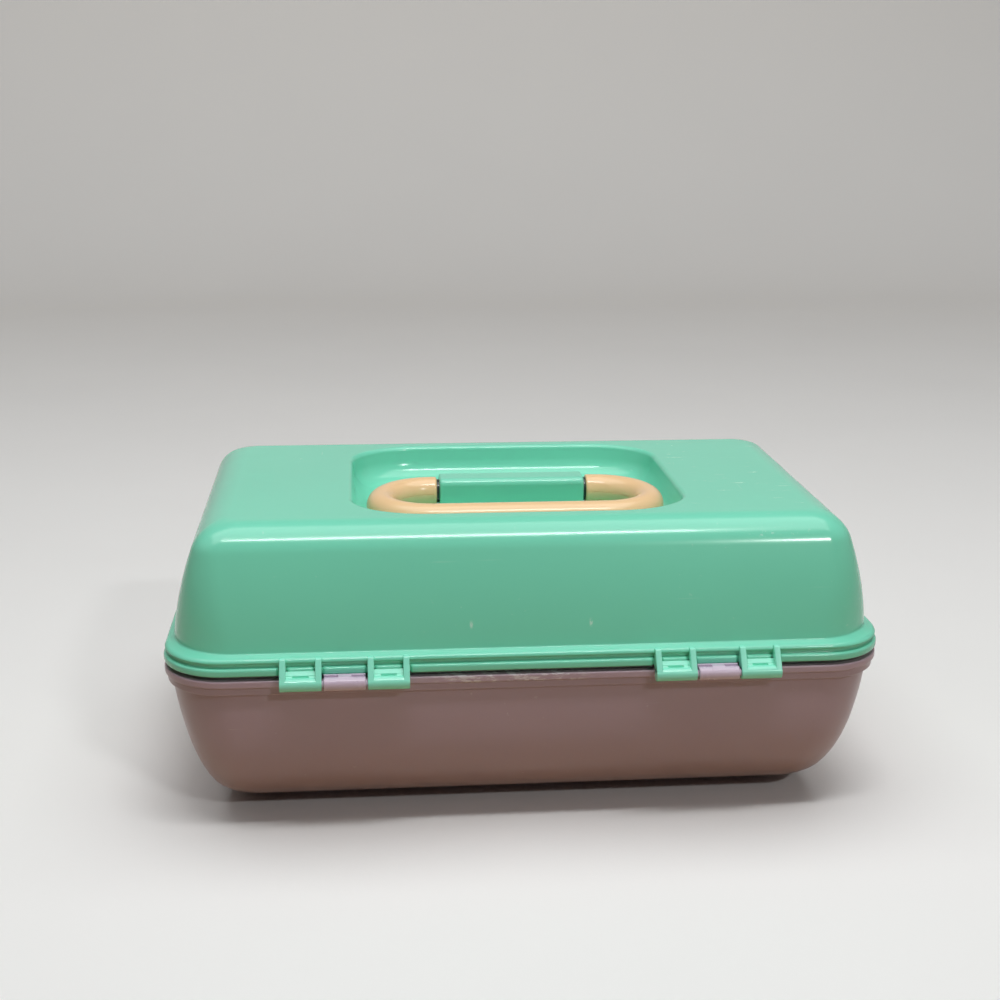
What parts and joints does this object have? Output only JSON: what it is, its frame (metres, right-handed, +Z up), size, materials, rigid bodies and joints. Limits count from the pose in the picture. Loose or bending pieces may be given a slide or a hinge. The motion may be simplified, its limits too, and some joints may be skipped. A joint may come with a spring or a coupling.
{
  "type": "cosmetics storage case",
  "caption": "Clamshell makeup storage case with a domed lid, rear hinges, folding top handle, front latch and a lift-up tray.",
  "frame": {"origin": "on the table under the middle of the case", "axes": "+X along the length, +Z up, hinges at +Y and latch at -Y"},
  "size_m": [0.33, 0.2226, 0.1424],
  "materials": {
    "mint_plastic": "glossy moulded",
    "lavender_plastic": "satin moulded",
    "peach_plastic": "glossy moulded",
    "cream_plastic": "satin moulded",
    "steel": "plain turned",
    "mirror": "silvered glass"
  },
  "bodies": {
    "base": {"base_shell": "lavender_plastic", "base_pin_left": "steel", "base_pin_right": "steel"},
    "lid": {"lid_shell": "mint_plastic", "handle_bridge": "mint_plastic", "handle_rod": "steel", "bridge_screws": "steel", "latch_pin": "steel", "lid_pin_left": "steel", "lid_pin_right": "steel", "mirror_frame": "cream_plastic", "mirror_glass": "mirror"},
    "handle": {"handle_grip": "peach_plastic"},
    "latch": {"latch": "peach_plastic"},
    "tray": {"tray": "cream_plastic", "tray_row_wall": "cream_plastic", "tray_divider_left": "cream_plastic", "tray_divider_right": "cream_plastic", "arm_pin_left": "steel", "arm_pin_right": "steel"},
    "arms": {"tray_arm_left": "lavender_plastic", "tray_arm_right": "lavender_plastic"}
  },
  "joints": [
    {"name": "lid_hinge", "type": "hinge", "parent": "base", "child": "lid", "pos_m": [0, 0.1083, 0.078], "axis": [-1, 0, 0], "range_deg": [0, 105]},
    {"name": "tray_swing", "type": "hinge", "parent": "lid", "child": "tray", "pos_m": [0, 0.06387, 0.08991], "axis": [-1, 0, 0], "range_deg": [-105, 0]},
    {"name": "arm_swing", "type": "hinge", "parent": "base", "child": "arms", "pos_m": [0, 0.00443, 0.05099], "axis": [-1, 0, 0], "range_deg": [0, 105]},
    {"name": "handle_fold", "type": "hinge", "parent": "lid", "child": "handle", "pos_m": [0, 0, 0.135], "axis": [1, 0, 0], "range_deg": [0, 180]},
    {"name": "latch_flip", "type": "hinge", "parent": "lid", "child": "latch", "pos_m": [0, -0.1083, 0.088], "axis": [-1, 0, 0], "range_deg": [0, 110]}
  ],
  "couplings": [
    {"joint": "tray_swing", "follows": "lid_hinge", "ratio": -1},
    {"joint": "arm_swing", "follows": "lid_hinge", "ratio": 1}
  ]
}
